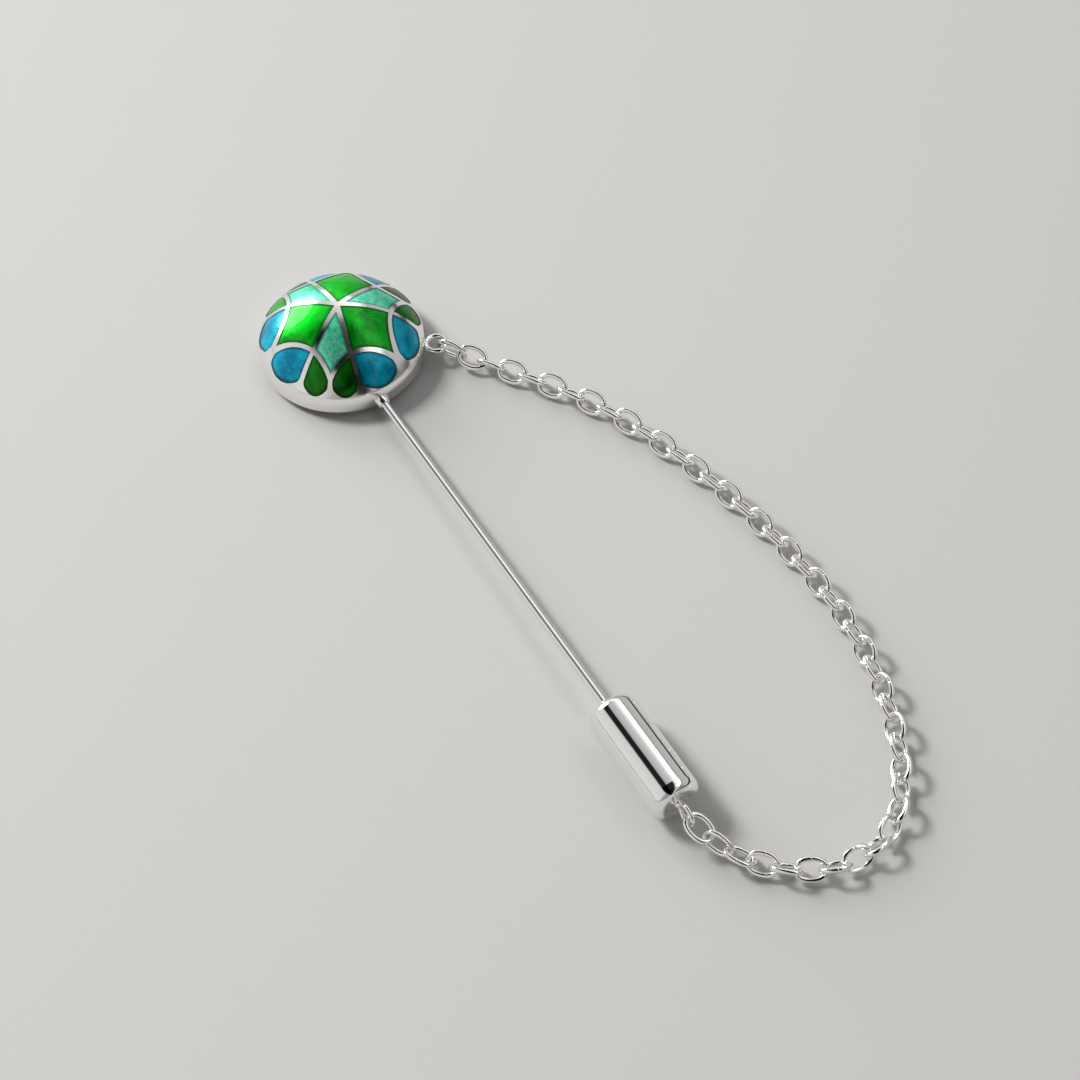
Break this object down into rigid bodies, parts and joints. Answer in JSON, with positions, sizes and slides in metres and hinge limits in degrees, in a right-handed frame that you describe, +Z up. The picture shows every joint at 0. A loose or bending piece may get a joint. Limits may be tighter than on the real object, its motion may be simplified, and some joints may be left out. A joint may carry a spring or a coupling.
{
  "type": "hat pin",
  "caption": "Hat pin with an enamelled dome head, a pointed stem, a sliding clutch over the point and a safety chain.",
  "frame": {"origin": "on the surface that the pin lies on, under the middle of the whole pin with its chain", "axes": "+X along the stem from the head to the clutch, +Z up, chain on the +Y side"},
  "size_m": [0.091, 0.0368, 0.0079],
  "materials": {
    "satin_silver": "silver-coloured plating, satin",
    "polished_silver": "silver-coloured plating, mirror polished",
    "polished_steel": "polished steel wire",
    "chain_metal": "plated wire, bright",
    "solder": "silver solder, bright",
    "mint_enamel": "translucent hard enamel, glossy",
    "green_enamel": "translucent hard enamel, glossy",
    "dark_green_enamel": "translucent hard enamel, glossy",
    "blue_enamel": "translucent hard enamel, glossy",
    "nylon": "natural nylon"
  },
  "bodies": {
    "pin": {"head_shell": "satin_silver", "enamel_mint": "mint_enamel", "enamel_green": "green_enamel", "enamel_dark_green": "dark_green_enamel", "enamel_blue": "blue_enamel", "back_plate": "satin_silver", "rim_eyelet": "polished_silver", "stem": "polished_steel", "stem_collar": "solder", "stem_solder": "solder"},
    "clutch_grip": {"grip_sleeve": "nylon"},
    "clutch": {"clutch_barrel": "polished_silver", "clutch_plug": "polished_silver", "clutch_eye": "polished_silver"},
    "chain_1": {"chain_link_01": "chain_metal", "chain_link_02": "chain_metal", "chain_link_03": "chain_metal", "chain_link_04": "chain_metal", "chain_link_05": "chain_metal", "chain_link_06": "chain_metal"},
    "chain_2": {"chain_link_07": "chain_metal", "chain_link_08": "chain_metal", "chain_link_09": "chain_metal", "chain_link_10": "chain_metal", "chain_link_11": "chain_metal", "chain_link_12": "chain_metal"},
    "chain_3": {"chain_link_13": "chain_metal", "chain_link_14": "chain_metal", "chain_link_15": "chain_metal", "chain_link_16": "chain_metal", "chain_link_17": "chain_metal", "chain_link_18": "chain_metal", "chain_link_19": "chain_metal", "chain_link_20": "chain_metal"},
    "chain_4": {"chain_link_21": "chain_metal", "chain_link_22": "chain_metal", "chain_link_23": "chain_metal", "chain_link_24": "chain_metal", "chain_link_25": "chain_metal", "chain_link_26": "chain_metal", "chain_link_27": "chain_metal", "chain_link_28": "chain_metal"},
    "chain_5": {"chain_link_29": "chain_metal", "chain_link_30": "chain_metal", "chain_link_31": "chain_metal", "chain_link_32": "chain_metal", "chain_link_33": "chain_metal", "chain_link_34": "chain_metal", "chain_link_35": "chain_metal", "chain_link_36": "chain_metal"},
    "chain_6": {"chain_link_37": "chain_metal", "chain_link_38": "chain_metal", "chain_link_39": "chain_metal", "chain_link_40": "chain_metal", "chain_link_41": "chain_metal", "chain_link_42": "chain_metal", "chain_link_43": "chain_metal", "chain_link_44": "chain_metal"}
  },
  "joints": [
    {"name": "clutch_slide", "type": "slide", "parent": "pin", "child": "clutch_grip", "axis": [0.9996, 0, 0.0293], "range_m": [0, 0.005]},
    {"name": "clutch_turn", "type": "hinge", "parent": "clutch_grip", "child": "clutch", "pos_m": [0.01845, -0.00938, 0.0024], "axis": [0.9996, 0, 0.0293], "range_deg": [-8, 8]},
    {"name": "chain_1_turn", "type": "hinge", "parent": "pin", "child": "chain_1", "pos_m": [-0.03017, -0.00013, 0.0016], "axis": [-0.0293, 0, 0.9996], "range_deg": [-10.53, 1]},
    {"name": "chain_2_turn", "type": "hinge", "parent": "chain_1", "child": "chain_2", "pos_m": [-0.01873, 0.00805, 0.00104], "axis": [-0.0293, 0, 0.9996], "range_deg": [-1, 9.14]},
    {"name": "chain_3_turn", "type": "hinge", "parent": "chain_2", "child": "chain_3", "pos_m": [-0.00584, 0.01366, 0.00104], "axis": [-0.0293, 0, 0.9996], "range_deg": [-1, 5.12]},
    {"name": "chain_4_turn", "type": "hinge", "parent": "chain_3", "child": "chain_4", "pos_m": [0.0126, 0.01715, 0.00104], "axis": [-0.0293, 0, 0.9996], "range_deg": [-1, 3.39]},
    {"name": "chain_5_turn", "type": "hinge", "parent": "chain_4", "child": "chain_5", "pos_m": [0.03117, 0.01525, 0.00104], "axis": [-0.0293, 0, 0.9996], "range_deg": [-1, 3.2]},
    {"name": "chain_6_turn", "type": "hinge", "parent": "chain_5", "child": "chain_6", "pos_m": [0.04454, 0.00356, 0.00104], "axis": [-0.0293, 0, 0.9996], "range_deg": [-1, 4.92]}
  ],
  "couplings": [
    {"joint": "chain_1_turn", "follows": "clutch_slide", "rad_per_m": -30.799},
    {"joint": "chain_2_turn", "follows": "clutch_slide", "rad_per_m": 26.317},
    {"joint": "chain_3_turn", "follows": "clutch_slide", "rad_per_m": 13.317},
    {"joint": "chain_4_turn", "follows": "clutch_slide", "rad_per_m": 7.7155},
    {"joint": "chain_5_turn", "follows": "clutch_slide", "rad_per_m": 7.1085},
    {"joint": "chain_6_turn", "follows": "clutch_slide", "rad_per_m": 12.659}
  ]
}
